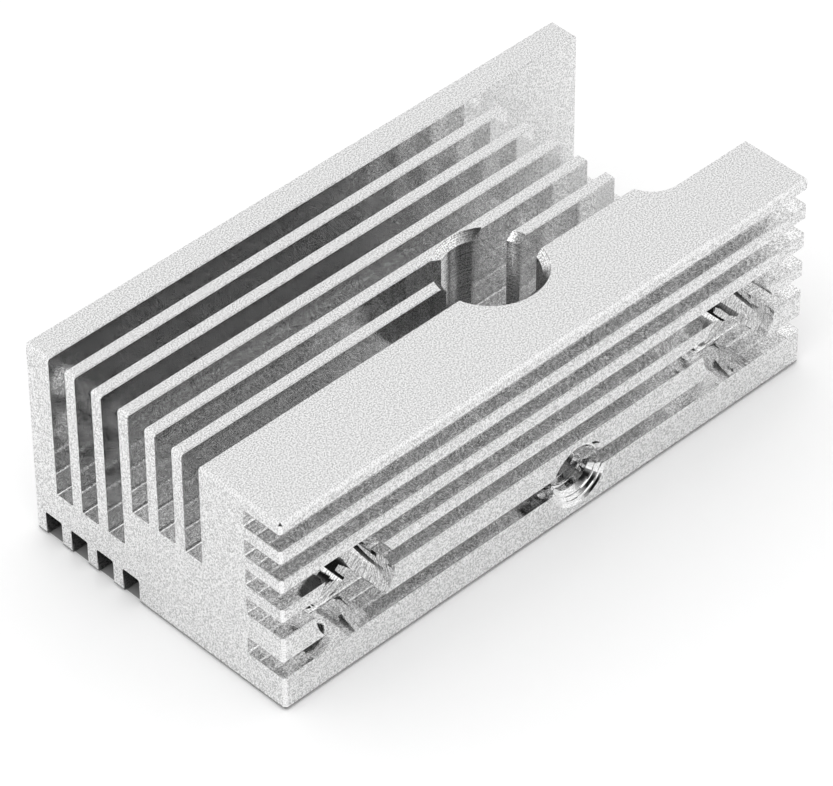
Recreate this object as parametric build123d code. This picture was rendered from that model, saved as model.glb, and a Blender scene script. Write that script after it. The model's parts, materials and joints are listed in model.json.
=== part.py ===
"""Heat sink block: one piece of bare aluminium with fins milled into its top and one side.

Sizes are in millimetres. The long side runs along X, the finned side faces -Y and the deep
pocket is at the +X end. The origin is the centre of the underside, and Z is up.
"""
import os

from build123d import *

# Block
BLOCK_LENGTH = 70.0
BLOCK_WIDTH = 35.0
BLOCK_HEIGHT = 23.7
EDGE_BREAK = 0.3
FIN_EDGE_BREAK = 0.12
FLOOR_CORNER = 0.25

# Slots along the top, counted from the solid wall at +Y
SIDE_WALL = 3.43
SLOT_WIDTH = 2.33
TOP_FIN = 1.35
DEEP_SLOTS = 3
SHALLOW_SLOTS = 3
DEEP_FLOOR = 6.6
SHALLOW_FLOOR = 11.6

# Grooves along the -Y side, counted down from the top plate
TOP_PLATE = 1.35
GROOVE_HEIGHT = 2.1
SIDE_FIN = 1.56
THIN_GROOVES = 4
THICK_FIN = 3.0
GROOVE_DEPTH = 4.95

# Square grooves along the underside, counted from +Y
FOOT_WALL = 1.5
FOOT_GROOVES = 4
FOOT_GROOVE_WIDTH = 2.33
FOOT_GROOVE_HEIGHT = 3.05

# Open pocket at the +X end
POCKET_LENGTH = 13.45
POCKET_WALL = 8.2
POCKET_CORNER = 3.5

# Bore from top to underside
BORE_OFFSET = 3.7
BORE_FROM_SIDE = 12.27
BORE_DIAMETER = 10.0
BORE_MOUTH = 0.8

# Hole for a set screw, from the finned side into the bore
SET_SCREW_DIAMETER = 6.0
SET_SCREW_HEIGHT = 4.9
SET_SCREW_MOUTH = 0.7

# Counterbored screw holes across the block, one near each end
SCREW_FROM_END = 9.15
SCREW_HEIGHT = 9.5
SCREW_HOLE_DIAMETER = 3.4
COUNTERBORE_DIAMETER = 10.1
COUNTERBORE_DEPTH = 6.26

# Cutters run this far past a face that they open
OVERRUN = 1.0

SLOT_PITCH = SLOT_WIDTH + TOP_FIN
GROOVE_PITCH = GROOVE_HEIGHT + SIDE_FIN
BACK = BLOCK_LENGTH / 2
LEFT = BLOCK_WIDTH / 2
RIGHT = -BLOCK_WIDTH / 2
INNER_WALL = LEFT - SIDE_WALL
BORE_Y = RIGHT + BORE_FROM_SIDE

UP = Vector(0, 0, 1)
DOWN = Vector(0, 0, -1)
TO_RIGHT = Vector(0, -1, 0)
ALONG = Vector(1, 0, 0)


def block():
    """The squared block with its outer edges broken."""
    solid = Box(BLOCK_LENGTH, BLOCK_WIDTH, BLOCK_HEIGHT, align=(Align.CENTER, Align.CENTER, Align.MIN))
    return chamfer(solid.edges(), EDGE_BREAK)


def channel(width, depth, mouth, outward):
    """A cutter for one straight channel along X: mouth is its middle, open towards outward.

    The edges of its mouth are broken, and the corners of its floor keep the cutter's own radius.
    """
    half = width / 2
    flare = half + FIN_EDGE_BREAK + OVERRUN
    section = make_face(
        Polyline(
            (-flare, OVERRUN),
            (-half, -FIN_EDGE_BREAK),
            (-half, -depth),
            (half, -depth),
            (half, -FIN_EDGE_BREAK),
            (flare, OVERRUN),
            close=True,
        )
    )
    section = fillet(section.vertices().sort_by(Axis.Y)[:2], FLOOR_CORNER)
    plane = Plane(origin=mouth, x_dir=outward.cross(ALONG), z_dir=ALONG)
    return extrude(plane * section, BLOCK_LENGTH / 2 + OVERRUN, both=True)


def top_slots():
    """The slots between the top fins, deep beside the wall and shallow beside the bore."""
    floors = [DEEP_FLOOR] * DEEP_SLOTS + [SHALLOW_FLOOR] * SHALLOW_SLOTS
    first = INNER_WALL - SLOT_WIDTH / 2
    cutters = []
    for index, floor in enumerate(floors):
        mouth = Vector(0, first - index * SLOT_PITCH, BLOCK_HEIGHT)
        cutters.append(channel(SLOT_WIDTH, BLOCK_HEIGHT - floor, mouth, UP))
    return cutters


def side_grooves():
    """The grooves between the side fins: even ones down to the thick fin, and one under it."""
    first = BLOCK_HEIGHT - TOP_PLATE - GROOVE_HEIGHT / 2
    heights = [first - index * GROOVE_PITCH for index in range(THIN_GROOVES)]
    heights.append(heights[-1] - GROOVE_HEIGHT - THICK_FIN)
    return [channel(GROOVE_HEIGHT, GROOVE_DEPTH, Vector(0, RIGHT, height), TO_RIGHT) for height in heights]


def foot_grooves():
    """The square grooves along the underside, at the pitch of the top slots."""
    first = LEFT - FOOT_WALL - FOOT_GROOVE_WIDTH / 2
    middles = [first - index * SLOT_PITCH for index in range(FOOT_GROOVES)]
    return [channel(FOOT_GROOVE_WIDTH, FOOT_GROOVE_HEIGHT, Vector(0, middle, 0), DOWN) for middle in middles]


def end_pocket():
    """The open pocket at the +X end, with the corner that a milling cutter leaves round."""
    start = BACK - POCKET_LENGTH
    side = RIGHT + POCKET_WALL
    area = make_face(
        Polyline(
            (start, INNER_WALL),
            (start, side),
            (BACK + OVERRUN, side),
            (BACK + OVERRUN, INNER_WALL),
            close=True,
        )
    )
    corner = area.vertices().sort_by_distance((start, side, 0))[0]
    area = fillet(corner, POCKET_CORNER)
    return extrude(Pos(0, 0, DEEP_FLOOR) * area, BLOCK_HEIGHT + OVERRUN - DEEP_FLOOR)


def stepped_hole(mouth, outward, steps):
    """A turned cutter that enters at mouth; steps are (depth, radius) pairs from outside inwards."""
    wall = [(radius, -depth) for depth, radius in steps]
    outline = [(0, wall[0][1])] + wall + [(0, wall[-1][1])]
    profile = Plane.XZ * make_face(Polyline(*outline, close=True))
    return Plane(origin=mouth, z_dir=outward) * revolve(profile, Axis.Z)


def main_bore():
    """The bore from top to underside, with a conical mouth on top and a broken edge below."""
    radius = BORE_DIAMETER / 2
    steps = [
        (-OVERRUN, radius + BORE_MOUTH + OVERRUN),
        (BORE_MOUTH, radius),
        (BLOCK_HEIGHT - EDGE_BREAK, radius),
        (BLOCK_HEIGHT + OVERRUN, radius + EDGE_BREAK + OVERRUN),
    ]
    return stepped_hole(Vector(BORE_OFFSET, BORE_Y, BLOCK_HEIGHT), UP, steps)


def set_screw_hole():
    """The hole for the set screw, at its thread's full diameter, with a conical mouth."""
    radius = SET_SCREW_DIAMETER / 2
    steps = [
        (-OVERRUN, radius + SET_SCREW_MOUTH + OVERRUN),
        (SET_SCREW_MOUTH, radius),
        (BORE_FROM_SIDE, radius),
    ]
    return stepped_hole(Vector(BORE_OFFSET, RIGHT, SET_SCREW_HEIGHT), TO_RIGHT, steps)


def screw_holes():
    """The two counterbored holes that cross the block from the finned side to the far wall."""
    wide = COUNTERBORE_DIAMETER / 2
    narrow = SCREW_HOLE_DIAMETER / 2
    steps = [
        (-OVERRUN, wide),
        (COUNTERBORE_DEPTH, wide),
        (COUNTERBORE_DEPTH, narrow),
        (BLOCK_WIDTH + OVERRUN, narrow),
    ]
    reach = BACK - SCREW_FROM_END
    return [stepped_hole(Vector(x, RIGHT, SCREW_HEIGHT), TO_RIGHT, steps) for x in (-reach, reach)]


def heat_sink_block():
    """The finished block, cut in the order in which it would be milled and drilled."""
    cutters = top_slots() + side_grooves() + foot_grooves()
    cutters += [end_pocket(), main_bore(), set_screw_hole()] + screw_holes()
    solid = block() - cutters
    solid.label = "heat_sink_block"
    return solid


os.makedirs("parts", exist_ok=True)
export_step(heat_sink_block(), "parts/heat_sink_block.step")
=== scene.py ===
"""Dress a machined aluminium heat sink block and light it in a plain white studio.

The block's own solid comes from the frame. A merged copy of it carries the finishes: bead-blasted
outside with chamfered edges and a line of painted shade along the edges that it stands on, sawn in the
slots, sawn with painted shade in the grooves underneath, milled in the end pocket, and turned in the
holes. Geometry Nodes wind the thread in the set screw's hole. Sizes are written in millimetres and
turned to metres by MM.
"""

import json
import logging
import math
from dataclasses import dataclass
from enum import Enum
from typing import Any

import bmesh
import bpy
from mathutils import Matrix, Vector


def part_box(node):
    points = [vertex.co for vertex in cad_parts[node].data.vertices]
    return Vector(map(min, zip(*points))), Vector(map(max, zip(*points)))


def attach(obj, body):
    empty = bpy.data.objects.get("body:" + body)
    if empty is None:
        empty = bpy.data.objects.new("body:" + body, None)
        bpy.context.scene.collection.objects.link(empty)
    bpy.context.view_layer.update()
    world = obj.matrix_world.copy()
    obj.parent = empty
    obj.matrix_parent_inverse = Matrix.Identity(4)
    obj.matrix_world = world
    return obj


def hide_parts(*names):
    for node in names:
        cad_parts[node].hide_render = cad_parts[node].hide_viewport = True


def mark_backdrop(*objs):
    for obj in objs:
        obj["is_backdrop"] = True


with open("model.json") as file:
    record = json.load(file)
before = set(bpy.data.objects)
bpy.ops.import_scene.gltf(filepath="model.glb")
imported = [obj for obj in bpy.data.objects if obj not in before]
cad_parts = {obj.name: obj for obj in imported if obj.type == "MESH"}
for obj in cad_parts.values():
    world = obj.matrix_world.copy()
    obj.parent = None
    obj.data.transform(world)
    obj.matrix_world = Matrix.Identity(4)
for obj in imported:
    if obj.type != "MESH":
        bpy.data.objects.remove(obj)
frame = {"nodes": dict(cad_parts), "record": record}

LOG = logging.getLogger("heat_sink")
MM = 0.001
NODE = "heat_sink_block"
BODY = "root"
IMAGE_WIDTH = 833

# Noise keeps near 0.5: below the first height a grain has its darkest colour, above the second its lightest
DARK_GRAIN, LIGHT_GRAIN = 0.38, 0.58
# One finer layer on the noise, and how strong it is beside the first
GRAIN_LAYERS, GRAIN_MIX = 1.0, 0.6
# Corners that lie this near to each other, in metres, are one corner
SAME_PLACE = 1e-7
# A face whose normal has at least this share along a direction faces that way
FACING = 0.9


def linear(hex_colour: str) -> tuple[float, float, float, float]:
    """Turn an sRGB hex colour into linear values.

    Args:
        hex_colour: Six hex digits with a leading hash.

    Returns:
        Red, green and blue in linear light, and an alpha of one.
    """
    parts = [int(hex_colour[place:place + 2], 16) / 255 for place in (1, 3, 5)]
    red, green, blue = [part / 12.92 if part <= 0.04045 else ((part + 0.055) / 1.055) ** 2.4 for part in parts]
    return red, green, blue, 1.0


def add_node(tree: bpy.types.NodeTree, kind: str, links: dict[Any, Any] | None = None,
             values: dict[Any, Any] | None = None, **settings: Any) -> bpy.types.Node:
    """Add one node with its settings, values and incoming links.

    Args:
        tree: The node tree that gets the node.
        kind: Blender's name for the type of node.
        links: Input sockets, by name or number, and the output sockets that feed them.
        values: Input sockets, by name or number, and the values set on them.
        settings: The node's own properties.

    Returns:
        The new node.
    """
    node = tree.nodes.new(kind)
    for name, value in settings.items():
        setattr(node, name, value)
    for socket, value in (values or {}).items():
        node.inputs[socket].default_value = value
    for socket, source in (links or {}).items():
        tree.links.new(source, node.inputs[socket])
    return node


def mount(name: str) -> dict[str, Any]:
    """Find one of the record's mounts by its name.

    Args:
        name: The mount's name.

    Returns:
        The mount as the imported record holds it.
    """
    return next(entry for entry in frame["record"]["mounts"] if entry["name"] == name)


class Surface(Enum):
    """How a face of the block was made, or that shade is painted on it, which is also its place in the list of
    materials.
    """

    BLASTED = 0
    SAWN = 1
    FOOT = 2
    MILLED = 3
    BORED = 4
    COUNTERBORED = 5
    TAPPED = 6
    CHAMFERED = 7
    # Painted shade: a grey strip round the block's foot
    PAINTED_FOOT_SHADE = 8


@dataclass(frozen=True)
class Finish:
    """A finish of bare aluminium: a colour, a gloss and a fine grain in both colour and relief.

    Attributes:
        name: The material's name.
        colour: The metal's colour as sRGB hex.
        shadow: The darkest grains' colour as sRGB hex.
        roughness: How far the surface spreads what it reflects.
        grain_mm: Width of one grain.
        depth_mm: Depth of the grain.
    """

    name: str
    colour: str
    shadow: str
    roughness: float
    grain_mm: float
    depth_mm: float

    def marks(self, tree: bpy.types.NodeTree, place: bpy.types.NodeSocket) -> bpy.types.NodeSocket:
        """Lay out the marks that the tool left, as a height between 0 and 1.

        Args:
            tree: The material's nodes.
            place: The object coordinates.

        Returns:
            The height of the surface.
        """
        return self.noise(tree, place)

    def noise(self, tree: bpy.types.NodeTree, place: bpy.types.NodeSocket) -> bpy.types.NodeSocket:
        """Lay out even noise of the grain's width.

        Args:
            tree: The material's nodes.
            place: The coordinates that the noise is read at.

        Returns:
            A value round 0.5.
        """
        grain = add_node(tree, "ShaderNodeTexNoise", {"Vector": place},
                         {"Scale": 1 / (self.grain_mm * MM), "Detail": GRAIN_LAYERS, "Roughness": GRAIN_MIX})
        return grain.outputs["Fac"]

    def build(self) -> bpy.types.Material:
        """Make the material.

        Returns:
            The material, with the tool's marks in its colour and relief.
        """
        material = bpy.data.materials.new(self.name)
        material.use_nodes = True
        tree = material.node_tree
        shader = tree.nodes["Principled BSDF"]
        shader.inputs["Metallic"].default_value = 1.0
        shader.inputs["Roughness"].default_value = self.roughness
        place = add_node(tree, "ShaderNodeTexCoord").outputs["Object"]
        height = self.marks(tree, place)
        tint = add_node(tree, "ShaderNodeValToRGB", {"Fac": height})
        low, high = tint.color_ramp.elements
        low.position, low.color = DARK_GRAIN, linear(self.shadow)
        high.position, high.color = LIGHT_GRAIN, linear(self.colour)
        bump = add_node(tree, "ShaderNodeBump", {"Height": height},
                        {"Strength": 1.0, "Distance": self.depth_mm * MM})
        tree.links.new(tint.outputs["Color"], shader.inputs["Base Color"])
        tree.links.new(bump.outputs["Normal"], shader.inputs["Normal"])
        return material


@dataclass(frozen=True)
class SawnFinish(Finish):
    """A finish with fine lines along X, where a saw or a cutter ran along the block.

    Attributes:
        line_ratio: How many times longer than wide a line is.
    """

    line_ratio: float

    def marks(self, tree: bpy.types.NodeTree, place: bpy.types.NodeSocket) -> bpy.types.NodeSocket:
        """Lay out the grain, drawn out along X."""
        stretch = add_node(tree, "ShaderNodeMapping", {"Vector": place},
                           {"Scale": (1 / self.line_ratio, 1.0, 1.0)})
        return self.noise(tree, stretch.outputs["Vector"])


@dataclass(frozen=True)
class TurnedFinish(Finish):
    """A finish with fine rings about an axis, where a drill or a counterbore turned.

    Attributes:
        centre_mm: Any point on the hole's axis. Holes at both -x and +x share one finish.
        across: True for a hole across the block, along Y, and False for an upright one.
        ring_mm: Distance between two rings.
        ring_share: How much of the height is rings, the rest being grain.
    """

    centre_mm: tuple[float, float, float]
    across: bool
    ring_mm: float
    ring_share: float

    def marks(self, tree: bpy.types.NodeTree, place: bpy.types.NodeSocket) -> bpy.types.NodeSocket:
        """Lay out rings about the hole's axis, broken up by the grain."""
        folded = add_node(tree, "ShaderNodeVectorMath", {0: place}, operation="ABSOLUTE")
        parts = add_node(tree, "ShaderNodeSeparateXYZ", {0: place})
        mirror = add_node(tree, "ShaderNodeSeparateXYZ", {0: folded.outputs["Vector"]})
        x, y, z = [value * MM for value in self.centre_mm]
        arm = add_node(tree, "ShaderNodeMath", {0: mirror.outputs["X"]}, {1: x}, operation="SUBTRACT")
        if self.across:
            rise = add_node(tree, "ShaderNodeMath", {0: parts.outputs["Z"]}, {1: z}, operation="SUBTRACT")
            along = parts.outputs["Y"]
        else:
            rise = add_node(tree, "ShaderNodeMath", {0: parts.outputs["Y"]}, {1: y}, operation="SUBTRACT")
            along = parts.outputs["Z"]
        flat = add_node(tree, "ShaderNodeCombineXYZ", {"X": arm.outputs[0], "Y": rise.outputs[0]})
        radius = add_node(tree, "ShaderNodeVectorMath", {0: flat.outputs[0]}, operation="LENGTH")
        course = add_node(tree, "ShaderNodeMath", {0: radius.outputs["Value"], 1: along}, operation="ADD")
        ring = add_node(tree, "ShaderNodeTexNoise", {"W": course.outputs[0]},
                        {"Scale": 1 / (self.ring_mm * MM), "Detail": GRAIN_LAYERS}, noise_dimensions="1D")
        mixed = add_node(tree, "ShaderNodeMix", {"A": self.noise(tree, place), "B": ring.outputs["Fac"]},
                         {"Factor": self.ring_share})
        return mixed.outputs["Result"]


@dataclass(frozen=True)
class RoundWall:
    """A wall that was turned about an axis: a cylinder with its conical mouths.

    Attributes:
        surface: The kind of surface that it is.
        centre: Any point on its axis, in millimetres.
        axis: The axis's direction, along Y or Z.
        steps: Pairs of the place along the axis and the radius there, in millimetres.
    """

    surface: Surface
    centre: Vector
    axis: Vector
    steps: tuple[tuple[float, float], ...]

    def holds(self, point: Vector, tolerance: float) -> bool:
        """Tell whether a point lies on the wall.

        Args:
            point: The point in millimetres.
            tolerance: How far off it may lie.

        Returns:
            True where its distance from the axis is the wall's radius at its place.
        """
        place = point.dot(self.axis)
        reach = (point - self.centre - self.axis * (point - self.centre).dot(self.axis)).length
        for (start, first), (end, last) in zip(self.steps, self.steps[1:]):
            if start - tolerance <= place <= end + tolerance:
                share = min(max((place - start) / (end - start), 0.0), 1.0)
                if abs(first + (last - first) * share - reach) < tolerance:
                    return True
        return False


@dataclass
class Block:
    """The block, a merged copy of the frame's solid with its faces sorted by finish.

    Attributes:
        edge_break_mm: Width of the broken outer edges, on both faces beside them.
        edge_reach_mm: How near to an outer plane the middle of an outer face or a broken edge lies.
        bore_mouth_mm: Height of the bore's conical mouth.
        screw_mouth_mm: Depth of the set screw hole's conical mouth.
        counterbore_radius_mm: Radius of the two counterbores.
        counterbore_depth_mm: Depth of the two counterbores.
        pocket_start_mm: Where the end pocket begins along X.
        foot_height_mm: Height of the grooves in the underside.
        foot_shade_mm: Height up to which the block's outside is painted darker, as painted shade along the
            edges that it stands on.
        tolerance_mm: How near to a wall a corner has to lie to belong to it.
    """

    edge_break_mm: float = 0.3
    edge_reach_mm: float = 0.24
    bore_mouth_mm: float = 0.8
    screw_mouth_mm: float = 0.7
    counterbore_radius_mm: float = 5.05
    counterbore_depth_mm: float = 6.26
    pocket_start_mm: float = 21.55
    foot_height_mm: float = 3.05
    foot_shade_mm: float = 0.46
    tolerance_mm: float = 0.02

    def round_walls(self, low: Vector, high: Vector) -> list[RoundWall]:
        """List the block's drilled and bored walls, placed by the record's mounts.

        Args:
            low: The block's lowest corner in millimetres.
            high: The block's highest corner in millimetres.

        Returns:
            The bore, the set screw's hole, and the screw holes with their counterbores.
        """
        bore, screw, clamp = [mount(name) for name in ("cooled_bore", "set_screw_hole", "clamp_screw_holes")]
        upright, across = Vector((0, 0, 1)), Vector((0, 1, 0))
        radius, reach = bore["dims"]["r_mm"], self.edge_break_mm
        steps = ((low.z, radius + reach), (low.z + reach, radius),
                 (high.z - self.bore_mouth_mm, radius), (high.z, radius + self.bore_mouth_mm))
        walls = [RoundWall(Surface.BORED, Vector(bore["pos_m"]) / MM, upright, steps)]
        radius = screw["dims"]["r_mm"]
        steps = ((low.y, radius + self.screw_mouth_mm), (low.y + self.screw_mouth_mm, radius), (high.y, radius))
        walls.append(RoundWall(Surface.TAPPED, Vector(screw["pos_m"]) / MM, across, steps))
        radius, wide = clamp["dims"]["hole_r_mm"], self.counterbore_radius_mm
        floor = low.y + self.counterbore_depth_mm
        steps = ((low.y, wide), (floor, wide), (floor + self.tolerance_mm, radius), (high.y, radius))
        for side in (-1, 1):
            shift = Vector((side * clamp["dims"]["spacing_x_mm"] / 2, 0, 0))
            walls.append(RoundWall(Surface.COUNTERBORED, Vector(clamp["pos_m"]) / MM + shift, across, steps))
        return walls

    def surface_of(self, face: bmesh.types.BMFace, walls: list[RoundWall],
                   low: Vector, high: Vector) -> Surface:
        """Find how a face was made.

        Args:
            face: The face.
            walls: The block's round walls.
            low: The block's lowest corner in millimetres.
            high: The block's highest corner in millimetres.

        Returns:
            The kind of surface.
        """
        corners = [corner.co / MM for corner in face.verts]
        centre = sum(corners, Vector()) / len(corners)
        for wall in walls:
            sloped = abs(face.normal.dot(wall.axis)) < FACING
            if sloped and all(wall.holds(corner, self.tolerance_mm) for corner in corners):
                return wall.surface
        gaps = [*(centre - low), *(high - centre)]
        outer = sum(gap < self.edge_reach_mm for gap in gaps)
        slanted = max(abs(part) for part in face.normal) < FACING
        # Outer faces low on the block get painted shade, a thin dark line round its foot
        if outer and centre.z < self.foot_shade_mm and face.normal.z > -FACING:
            return Surface.PAINTED_FOOT_SHADE
        if outer:
            return Surface.CHAMFERED if outer > 1 and slanted else Surface.BLASTED
        counterbore_floor = low.y + self.counterbore_depth_mm
        if abs(centre.y - counterbore_floor) < self.tolerance_mm and face.normal.y < -FACING:
            return Surface.COUNTERBORED
        # The grooves under the block get a finish with painted shade
        if centre.z < self.foot_height_mm + self.tolerance_mm:
            return Surface.FOOT
        bore_edge = walls[0].centre.y - walls[0].steps[1][1]
        if centre.x > self.pocket_start_mm - self.tolerance_mm and centre.y > bore_edge:
            return Surface.MILLED
        return Surface.SAWN

    def build(self, materials: list[bpy.types.Material]) -> bpy.types.Object:
        """Make the dressed block.

        Args:
            materials: One material for each kind of surface, in its order.

        Returns:
            The block, riding on its body and standing for the frame's node.
        """
        low, high = [Vector(corner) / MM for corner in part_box(NODE)]
        walls = self.round_walls(low, high)
        solid = frame["nodes"][NODE].data
        work = bmesh.new()
        work.from_mesh(solid)
        kept = work.loops.layers.float_vector.new("kept_normal")
        for face in work.faces:
            for loop in face.loops:
                loop[kept] = solid.corner_normals[loop.index].vector
        bmesh.ops.remove_doubles(work, verts=work.verts, dist=SAME_PLACE)
        # Cut where one finish ends within a face: at the pocket's start and above the strip of painted shade
        # round the foot
        for point, normal in (((self.pocket_start_mm * MM, 0, 0), (1, 0, 0)),
                              ((0, 0, self.foot_shade_mm * MM), (0, 0, 1))):
            bmesh.ops.bisect_plane(work, geom=work.verts[:] + work.edges[:] + work.faces[:], dist=SAME_PLACE,
                                   plane_co=point, plane_no=normal)
        work.normal_update()
        normals: list[Vector] = []
        for face in work.faces:
            face.material_index = self.surface_of(face, walls, low, high).value
            face.smooth = True
            normals += [loop[kept].normalized() for loop in face.loops]
        work.loops.layers.float_vector.remove(kept)
        mesh = bpy.data.meshes.new("block")
        work.to_mesh(mesh)
        work.free()
        for material in materials:
            mesh.materials.append(material)
        mesh.normals_split_custom_set(normals)
        block = bpy.data.objects.new("block", mesh)
        bpy.context.scene.collection.objects.link(block)
        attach(block, BODY)
        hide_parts(NODE)
        return block


@dataclass
class SetScrewThread:
    """The thread in the set screw's hole: M6 x 1, wound by Geometry Nodes and trimmed to the block.

    The ridge stands inward from the hole's wall. It ends at the bore, at the hole's conical mouth and
    where the lowest side groove crosses the hole. A fine lip, left by the countersink, winds over the mouth.

    Attributes:
        pitch_mm: Distance from ridge to ridge.
        sink_mm: How far the ridge's foot reaches into the wall.
        crest_radius_mm: Radius to which the hole was drilled before tapping.
        foot_width_mm: Width of the ridge at its foot.
        crest_width_mm: Width of the ridge at its crest.
        mouth_mm: Depth of the hole's conical mouth.
        groove_low_mm: Height of the underside of the groove that crosses the hole.
        groove_high_mm: Height of that groove's upper side.
        groove_depth_mm: Depth of the groove.
        lip_radius_mm: Radius of the lip's round section.
        lip_start_mm: Depth in the mouth at which the lip begins.
        lip_pitch_mm: Distance along the hole between two turns of the lip.
        lip_turns: Turns of the lip.
        spare_mm: How far the ridge runs on before it is trimmed. The cutters start as far again outside.
        turn_points: Points in one turn of the ridge.
        mouth_sides: Sides of the cone that trims the ridge at the hole's mouth.
        bore_sides: Sides of the cylinder that trims the ridge at the bore.
        lip_sides: Sides of the lip's section.
        sharp_degrees: Angle between two faces from which their edge is sharp.
    """

    pitch_mm: float = 1.0
    sink_mm: float = 0.03
    crest_radius_mm: float = 2.46
    foot_width_mm: float = 0.9
    crest_width_mm: float = 0.25
    mouth_mm: float = 0.7
    groove_low_mm: float = 4.17
    groove_high_mm: float = 6.27
    groove_depth_mm: float = 4.95
    lip_radius_mm: float = 0.12
    lip_start_mm: float = 0.24
    lip_pitch_mm: float = 0.42
    lip_turns: float = 1.2
    spare_mm: float = 1.0
    turn_points: int = 48
    mouth_sides: int = 96
    bore_sides: int = 192
    lip_sides: int = 10
    sharp_degrees: float = 30.0

    def sizes(self) -> dict[str, float | int]:
        """Work out the node tree's inputs in metres, from the record's mounts.

        Returns:
            The inputs by name.
        """
        screw, bore = mount("set_screw_hole"), mount("cooled_bore")
        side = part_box(NODE)[0][1] / MM
        root = screw["dims"]["r_mm"] + self.sink_mm
        inner = screw["pos_m"][1] / MM + screw["dims"]["length_mm"] / 2
        length = inner - side + 2 * self.spare_mm
        reach = 2 * self.spare_mm
        brim = screw["dims"]["r_mm"] + self.mouth_mm
        lip_length = self.lip_pitch_mm * self.lip_turns
        millimetres = {
            "Length": length,
            "Ridge Radius": (root + self.crest_radius_mm) / 2,
            "Ridge Height": root - self.crest_radius_mm,
            "Foot Width": self.foot_width_mm,
            "Crest Width": self.crest_width_mm,
            "Hole X": screw["pos_m"][0] / MM,
            "Hole Y": side - self.spare_mm,
            "Cutter Y": side - reach,
            "Hole Z": screw["pos_m"][2] / MM,
            "Bore Radius": bore["dims"]["r_mm"],
            "Bore Y": bore["pos_m"][1] / MM,
            "Mouth Radius": brim + reach,
            "Groove Depth": self.groove_depth_mm + reach,
            "Groove Height": self.groove_high_mm - self.groove_low_mm,
            "Groove Z": (self.groove_high_mm + self.groove_low_mm) / 2,
            "Lip Radius": self.lip_radius_mm,
            "Lip Y": side + self.lip_start_mm,
            "Lip Length": lip_length,
            "Lip Start": brim - self.lip_start_mm,
            "Lip End": brim - self.lip_start_mm - lip_length,
        }
        inputs: dict[str, float | int] = {name: value * MM for name, value in millimetres.items()}
        inputs["Turns"] = length / self.pitch_mm
        inputs["Lip Turns"] = self.lip_turns
        inputs["Turn Points"] = self.turn_points
        return inputs

    def tree(self, inputs: dict[str, float | int], material: bpy.types.Material) -> bpy.types.NodeTree:
        """Write the node tree that winds and trims the ridge.

        Args:
            inputs: The tree's named inputs.
            material: The thread's finish.

        Returns:
            The tree.
        """
        tree = bpy.data.node_groups.new("wind_thread", "GeometryNodeTree")
        tree.interface.new_socket("Geometry", in_out="OUTPUT", socket_type="NodeSocketGeometry")
        for name, value in inputs.items():
            kind = "NodeSocketInt" if isinstance(value, int) else "NodeSocketFloat"
            tree.interface.new_socket(name, in_out="INPUT", socket_type=kind)
        size = add_node(tree, "NodeGroupInput").outputs
        start = add_node(tree, "ShaderNodeCombineXYZ",
                         {"X": size["Hole X"], "Y": size["Hole Y"], "Z": size["Hole Z"]})
        outside = add_node(tree, "ShaderNodeCombineXYZ",
                           {"X": size["Hole X"], "Y": size["Cutter Y"], "Z": size["Hole Z"]})
        across = {"Rotation": (math.radians(-90), 0, 0)}
        path = add_node(tree, "GeometryNodeCurveSpiral", {
            "Resolution": size["Turn Points"], "Rotations": size["Turns"],
            "Start Radius": size["Ridge Radius"], "End Radius": size["Ridge Radius"],
            "Height": size["Length"]}, {"Reverse": True})
        upright = add_node(tree, "GeometryNodeSetCurveNormal", {"Curve": path.outputs["Curve"]}, mode="Z_UP")
        profile = add_node(tree, "GeometryNodeCurvePrimitiveQuadrilateral", {
            "Bottom Width": size["Foot Width"], "Top Width": size["Crest Width"],
            "Height": size["Ridge Height"]}, {"Offset": 0.0}, mode="TRAPEZOID")
        inward = add_node(tree, "GeometryNodeTransform", {"Geometry": profile.outputs["Curve"]},
                          {"Rotation": (0, 0, math.radians(90))})
        ridge = add_node(tree, "GeometryNodeCurveToMesh", {
            "Curve": upright.outputs["Curve"], "Profile Curve": inward.outputs["Geometry"]},
            {"Fill Caps": True})
        laid = add_node(tree, "GeometryNodeTransform", {"Geometry": ridge.outputs["Mesh"],
                                                        "Translation": start.outputs["Vector"]}, across)
        cone = add_node(tree, "GeometryNodeMeshCone", {"Radius Bottom": size["Mouth Radius"],
                                                       "Depth": size["Mouth Radius"]},
                        {"Vertices": self.mouth_sides, "Radius Top": 0.0})
        cut_mouth = add_node(tree, "GeometryNodeTransform", {"Geometry": cone.outputs["Mesh"],
                                                             "Translation": outside.outputs["Vector"]}, across)
        bore = add_node(tree, "GeometryNodeMeshCylinder",
                        {"Radius": size["Bore Radius"], "Depth": size["Length"]}, {"Vertices": self.bore_sides})
        bore_place = add_node(tree, "ShaderNodeCombineXYZ",
                              {"X": size["Hole X"], "Y": size["Bore Y"], "Z": size["Hole Z"]})
        cut_bore = add_node(tree, "GeometryNodeTransform", {"Geometry": bore.outputs["Mesh"],
                                                            "Translation": bore_place.outputs["Vector"]})
        groove_size = add_node(tree, "ShaderNodeCombineXYZ",
                               {"X": size["Length"], "Y": size["Groove Depth"], "Z": size["Groove Height"]})
        groove = add_node(tree, "GeometryNodeMeshCube", {"Size": groove_size.outputs["Vector"]})
        half = add_node(tree, "ShaderNodeMath", {0: size["Groove Depth"]}, {1: 0.5}, operation="MULTIPLY")
        middle = add_node(tree, "ShaderNodeMath", {0: size["Cutter Y"], 1: half.outputs[0]}, operation="ADD")
        groove_place = add_node(tree, "ShaderNodeCombineXYZ",
                                {"X": size["Hole X"], "Y": middle.outputs[0], "Z": size["Groove Z"]})
        cut_groove = add_node(tree, "GeometryNodeTransform", {"Geometry": groove.outputs["Mesh"],
                                                              "Translation": groove_place.outputs["Vector"]})
        trimmed = laid.outputs["Geometry"]
        for cutter in (cut_mouth, cut_bore, cut_groove):
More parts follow.
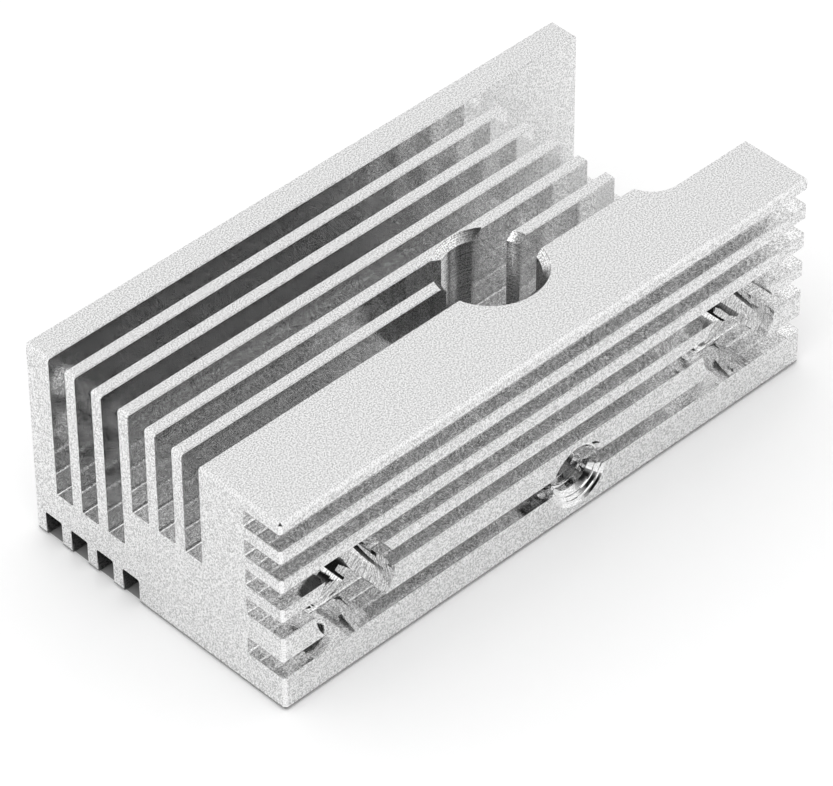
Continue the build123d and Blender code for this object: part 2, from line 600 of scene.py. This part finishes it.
            trim = add_node(tree, "GeometryNodeMeshBoolean", {0: trimmed, 1: cutter.outputs["Geometry"]},
                            operation="DIFFERENCE", solver="MANIFOLD")
            trimmed = trim.outputs["Mesh"]
        lip_path = add_node(tree, "GeometryNodeCurveSpiral", {
            "Resolution": size["Turn Points"], "Rotations": size["Lip Turns"],
            "Start Radius": size["Lip Start"], "End Radius": size["Lip End"],
            "Height": size["Lip Length"]}, {"Reverse": True})
        lip_section = add_node(tree, "GeometryNodeCurvePrimitiveCircle", {"Radius": size["Lip Radius"]},
                               {"Resolution": self.lip_sides})
        lip = add_node(tree, "GeometryNodeCurveToMesh", {
            "Curve": lip_path.outputs["Curve"], "Profile Curve": lip_section.outputs["Curve"]},
            {"Fill Caps": True})
        lip_place = add_node(tree, "ShaderNodeCombineXYZ",
                             {"X": size["Hole X"], "Y": size["Lip Y"], "Z": size["Hole Z"]})
        lip_laid = add_node(tree, "GeometryNodeTransform", {"Geometry": lip.outputs["Mesh"],
                                                            "Translation": lip_place.outputs["Vector"]}, across)
        lip_trimmed = add_node(tree, "GeometryNodeMeshBoolean", {
            0: lip_laid.outputs["Geometry"], 1: cut_groove.outputs["Geometry"]},
            operation="DIFFERENCE", solver="MANIFOLD")
        joined = add_node(tree, "GeometryNodeJoinGeometry")
        for piece in (trimmed, lip_trimmed.outputs["Mesh"]):
            tree.links.new(piece, joined.inputs["Geometry"])
        plain = add_node(tree, "GeometryNodeRealizeInstances", {"Geometry": joined.outputs["Geometry"]})
        dressed = add_node(tree, "GeometryNodeSetMaterial", {"Geometry": plain.outputs["Geometry"]},
                           {"Material": material})
        add_node(tree, "NodeGroupOutput", {"Geometry": dressed.outputs["Geometry"]})
        return tree

    def build(self, material: bpy.types.Material) -> bpy.types.Object:
        """Make the thread as a plain mesh.

        Args:
            material: The thread's finish.

        Returns:
            The thread, riding on the block's body.
        """
        inputs = self.sizes()
        tree = self.tree(inputs, material)
        carrier = bpy.data.objects.new("thread_carrier", bpy.data.meshes.new("thread_carrier"))
        bpy.context.scene.collection.objects.link(carrier)
        modifier = carrier.modifiers.new("wind_thread", "NODES")
        modifier.node_group = tree
        for socket in tree.interface.items_tree:
            if socket.in_out == "INPUT":
                modifier[socket.identifier] = inputs[socket.name]
        placed = carrier.evaluated_get(bpy.context.evaluated_depsgraph_get())
        mesh = bpy.data.meshes.new_from_object(placed)
        bpy.data.objects.remove(carrier)
        mesh.materials.clear()
        mesh.materials.append(material)
        mesh.shade_smooth()
        mesh.set_sharp_from_angle(angle=math.radians(self.sharp_degrees))
        thread = bpy.data.objects.new("set_screw_thread", mesh)
        bpy.context.scene.collection.objects.link(thread)
        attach(thread, BODY)
        return thread


@dataclass(frozen=True)
class DarkSpot:
    """Something dark in the white light tent, which shows only where bare metal mirrors it.

    Attributes:
        azimuth: Where its middle is, in degrees about Z from +X.
        elevation: How high its middle stands, in degrees.
        inner: Degrees from its middle up to which it is dark.
        outer: Degrees from its middle from which the tent's wall is full white.
        light: Strength of the light that comes from it.
    """

    azimuth: float
    elevation: float
    inner: float
    outer: float
    light: float

    def shade(self, tree: bpy.types.NodeTree, direction: bpy.types.NodeSocket) -> bpy.types.NodeSocket:
        """Work out how much of the tent's light is left in a direction.

        Args:
            tree: The world's nodes.
            direction: The direction that is looked in.

        Returns:
            A share between the spot's light and 1.
        """
        turn, lift = math.radians(self.azimuth), math.radians(self.elevation)
        towards = (math.cos(lift) * math.cos(turn), math.cos(lift) * math.sin(turn), math.sin(lift))
        inner, outer = math.cos(math.radians(self.inner)), math.cos(math.radians(self.outer))
        aim = add_node(tree, "ShaderNodeVectorMath", {0: direction}, {1: towards}, operation="DOT_PRODUCT")
        left = add_node(tree, "ShaderNodeMapRange", {"Value": aim.outputs["Value"]},
                        {"From Min": outer, "From Max": inner, "To Min": 1.0, "To Max": self.light},
                        interpolation_type="SMOOTHSTEP")
        return left.outputs["Result"]


@dataclass
class Studio:
    """A plain white studio: a pale floor, a white light tent with one opening, and one large soft lamp.

    Attributes:
        floor_size_mm: Side of the square floor.
        floor_gap_mm: Distance of the floor below the block.
        shade_mm: Length and width of the grey part of the floor, right under the underside's grooves.
        shade_middle_mm: Where its middle lies along Y.
        floor_colour: The floor's colour as sRGB hex.
        shade_colour: The grey part's colour as sRGB hex.
        floor_roughness: How far the floor spreads what it reflects.
        surround: Strength of the light from all round.
        spots: The tent's opening, the camera that stands in it, and a gap between the tent's walls.
        lamp_power: Power of the soft lamp in watts.
        lamp_size_mm: Side of the lamp.
        lamp_place_mm: Where the lamp hangs.
        bounces: Reflections that a ray is followed for, because a slot's walls mirror each other many times.
    """

    floor_size_mm: float = 4000.0
    floor_gap_mm: float = 0.02
    shade_mm: tuple[float, float] = (69.2, 15.7)
    shade_middle_mm: float = 9.35
    floor_colour: str = "#FCFCFC"
    shade_colour: str = "#989898"
    floor_roughness: float = 0.9
    surround: float = 0.95
    spots: tuple[DarkSpot, ...] = (
        DarkSpot(-122.0, 30.0, 28.0, 55.0, 0.25),
        DarkSpot(-124.0, 33.0, 20.0, 32.0, 0.05),
        DarkSpot(157.0, 45.0, 6.0, 18.0, 0.3),
    )
    lamp_power: float = 1.0
    lamp_size_mm: float = 500.0
    lamp_place_mm: tuple[float, float, float] = (-250.0, -100.0, 600.0)
    bounces: int = 40

    def build(self) -> None:
        """Make the floor, the surround and the lamp, and set how light is followed and shown."""
        self.build_floor()
        self.build_surround()
        self.build_lamp()
        scene = bpy.context.scene
        scene.view_settings.view_transform = "Standard"
        scene.cycles.max_bounces = self.bounces
        scene.cycles.glossy_bounces = self.bounces

    def build_floor(self) -> bpy.types.Object:
        """Make the floor, which is white and keeps the block's soft shadow, with grey under its grooves."""
        half = self.floor_size_mm * MM / 2
        low = -self.floor_gap_mm * MM
        mesh = bpy.data.meshes.new("studio_floor")
        corners = [(-half, -half, low), (half, -half, low), (half, half, low), (-half, half, low)]
        mesh.from_pydata(corners, [], [(0, 1, 2, 3)])
        # Matt white paper, which spreads light evenly. The grey under the grooves is drawn, not cast: it
        # makes them look as deep and dark as they do where little light reaches the ground
        material = bpy.data.materials.new("white_paper_floor")
        material.use_nodes = True
        tree = material.node_tree
        shader = tree.nodes["Principled BSDF"]
        shader.inputs["Roughness"].default_value = self.floor_roughness
        whole = add_node(tree, "ShaderNodeTexCoord")
        place = add_node(tree, "ShaderNodeMapping", {"Vector": whole.outputs["Object"]},
                         {"Location": (0.0, -self.shade_middle_mm * MM, 0.0)})
        folded = add_node(tree, "ShaderNodeVectorMath", {0: place.outputs["Vector"]}, operation="ABSOLUTE")
        apart = add_node(tree, "ShaderNodeSeparateXYZ", {0: folded.outputs["Vector"]})
        along, beside = [add_node(tree, "ShaderNodeMath", {0: apart.outputs[axis]}, {1: side * MM / 2},
                                  operation="LESS_THAN") for axis, side in zip("XY", self.shade_mm)]
        under = add_node(tree, "ShaderNodeMath", {0: along.outputs[0], 1: beside.outputs[0]},
                         operation="MULTIPLY")
        tint = add_node(tree, "ShaderNodeValToRGB", {"Fac": under.outputs[0]})
        tint.color_ramp.elements[0].color = linear(self.floor_colour)
        tint.color_ramp.elements[1].color = linear(self.shade_colour)
        tree.links.new(tint.outputs["Color"], shader.inputs["Base Color"])
        mesh.materials.append(material)
        floor = bpy.data.objects.new("studio_floor", mesh)
        bpy.context.scene.collection.objects.link(floor)
        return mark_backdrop(floor)

    def build_surround(self) -> None:
        """Make the world: even light, plain white where it is seen, and the tent's opening in mirrors."""
        world = bpy.data.worlds.new("white_surround")
        bpy.context.scene.world = world
        world.use_nodes = True
        tree = world.node_tree
        tree.nodes.clear()
        path = add_node(tree, "ShaderNodeLightPath")
        direction = add_node(tree, "ShaderNodeTexCoord").outputs["Generated"]
        mirrored = self.spots[0].shade(tree, direction)
        for spot in self.spots[1:]:
            product = add_node(tree, "ShaderNodeMath", {0: mirrored, 1: spot.shade(tree, direction)},
                               operation="MULTIPLY")
            mirrored = product.outputs[0]
        indirect = add_node(tree, "ShaderNodeMapRange",
                            {"Value": path.outputs["Is Glossy Ray"], "To Max": mirrored},
                            {"To Min": self.surround})
        seen = add_node(tree, "ShaderNodeMath",
                        {0: path.outputs["Is Camera Ray"], 1: path.outputs["Is Transmission Ray"]},
                        operation="MAXIMUM")
        strength = add_node(tree, "ShaderNodeMapRange",
                            {"Value": seen.outputs[0], "To Min": indirect.outputs["Result"]}, {"To Max": 1.0})
        light = add_node(tree, "ShaderNodeBackground", {"Strength": strength.outputs["Result"]},
                         {"Color": (1.0, 1.0, 1.0, 1.0)})
        add_node(tree, "ShaderNodeOutputWorld", {"Surface": light.outputs["Background"]})

    def build_lamp(self) -> bpy.types.Object:
        """Make the soft lamp, aimed at the block."""
        data = bpy.data.lights.new("soft_lamp", "AREA")
        data.energy = self.lamp_power
        data.size = self.lamp_size_mm * MM
        lamp = bpy.data.objects.new("soft_lamp", data)
        bpy.context.scene.collection.objects.link(lamp)
        lamp.location = Vector(self.lamp_place_mm) * MM
        lamp.rotation_euler = (-lamp.location).to_track_quat("-Z", "Y").to_euler()
        return lamp


@dataclass(frozen=True)
class Viewpoint:
    """The camera, solved from the block's straight edges.

    Attributes:
        azimuth: Degrees that it stands round from the finned side.
        elevation: Degrees above the floor.
        roll: Degrees that it leans.
        origin_mm: The block's origin seen from it: to the right, down and forward.
        focal_px: Focal length in pixels of the image.
        sensor_mm: Width of the sensor.
        nearest_mm: Distance from which it sees.
    """

    azimuth: float = -43.983
    elevation: float = 41.786
    roll: float = 0.310
    origin_mm: tuple[float, float, float] = (0.771, 4.890, 502.9)
    focal_px: float = 5134.57
    sensor_mm: float = 36.0
    nearest_mm: float = 10.0

    def axes(self) -> Matrix:
        """Give the camera's right, down and forward directions as rows."""
        turn, lift, lean = [math.radians(angle) for angle in (self.azimuth, self.elevation, self.roll)]
        forward = Vector((-math.sin(turn) * math.cos(lift), math.cos(turn) * math.cos(lift), -math.sin(lift)))
        right = forward.cross(Vector((0, 0, 1))).normalized()
        down = forward.cross(right)
        rows = (
            right * math.cos(lean) + down * math.sin(lean),
            down * math.cos(lean) - right * math.sin(lean),
            forward,
        )
        return Matrix(rows)

    def build(self) -> bpy.types.Object:
        """Make the camera and give it to the scene."""
        axes = self.axes()
        right, down, forward = axes
        data = bpy.data.cameras.new("camera")
        data.sensor_width = self.sensor_mm
        data.lens = self.focal_px * self.sensor_mm / IMAGE_WIDTH
        data.clip_start = self.nearest_mm * MM
        camera = bpy.data.objects.new("camera", data)
        bpy.context.scene.collection.objects.link(camera)
        turn = Matrix((right, -down, -forward)).transposed().to_4x4()
        place = axes.transposed() @ Vector(self.origin_mm) * -MM
        camera.matrix_world = Matrix.Translation(place) @ turn
        bpy.context.scene.camera = camera
        return camera


# Blasting dimples of about 0.05 mm and tool rings of about 0.1 mm are too fine to show in the render.
# So grains are drawn 0.13 to 0.15 mm wide, and rings 0.2 to 0.25 mm, as coarse as they need to be to show.
FINISHES: dict[Surface, Finish] = {
    # Bead-blasted aluminium: its fine dimples spread the light into an even pale grey with a tight grain.
    Surface.BLASTED: Finish("blasted_aluminium", "#F6F6F6", "#BABABA", 0.45, 0.15, 0.014),
    # Aluminium cut by a slitting saw: the walls mirror each other, so a slot darkens with each bounce.
    Surface.SAWN: SawnFinish("sawn_aluminium", "#FFFFFF", "#CACACA", 0.05, 0.14, 0.0022, 1.3),
    # The same cut, rougher, with shade painted into its colour: the grooves under the block are drawn dark.
    Surface.FOOT: SawnFinish("dull_sawn_aluminium", "#8A8A8A", "#505050", 0.4, 0.15, 0.004, 1.5),
    # Aluminium milled by a wide cutter: a soft sheen, close to the blasted faces but a little livelier.
    Surface.MILLED: Finish("milled_aluminium", "#FAFAFA", "#C0C0C0", 0.4, 0.15, 0.012),
    # Bored aluminium: fine rings blur what the wall mirrors into upright bands of light and dark.
    Surface.BORED: TurnedFinish("bored_aluminium", "#FFFFFF", "#A4A4A4", 0.16, 0.14, 0.008,
                                (3.7, -5.23, 0.0), False, 0.2, 0.3),
    # Aluminium turned by a counterbore: bright and clear, with fine rings that break up its reflections.
    Surface.COUNTERBORED: TurnedFinish("counterbored_aluminium", "#FFFFFF", "#C8C8C8", 0.02, 0.13, 0.0008,
                                       (25.85, 0.0, 9.5), True, 0.25, 0.4),
    # Tapped aluminium: the ridges and the mouth are cut clean, and flash between white and near black.
    Surface.TAPPED: TurnedFinish("tapped_aluminium", "#FFFFFF", "#D0D0D0", 0.04, 0.13, 0.001,
                                 (3.7, 0.0, 4.9), True, 0.2, 0.4),
    # Chamfered aluminium: narrow smooth facets that draw a bright line along the block's outer edges.
    Surface.CHAMFERED: Finish("chamfered_aluminium", "#FCFCFC", "#DADADA", 0.2, 0.15, 0.002),
    # Painted shade: the outside is coloured grey just above the edges that the block stands on, a thin dark
    # line round its foot.
    Surface.PAINTED_FOOT_SHADE: Finish("rubbed_aluminium", "#9C9C9C", "#7A7A7A", 0.4, 0.15, 0.006),
}


def main() -> None:
    logging.basicConfig(level=logging.INFO, format="%(name)s: %(message)s")
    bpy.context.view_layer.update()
    Viewpoint().build()
    materials = [FINISHES[surface].build() for surface in Surface]
    block = Block().build(materials)
    LOG.info("block: %d faces", len(block.data.polygons))
    thread = SetScrewThread().build(materials[Surface.TAPPED.value])
    LOG.info("set screw thread: %d faces", len(thread.data.polygons))
    Studio().build()
    LOG.info("studio: floor, white surround and one soft lamp")


if __name__ == "__main__":
    main()
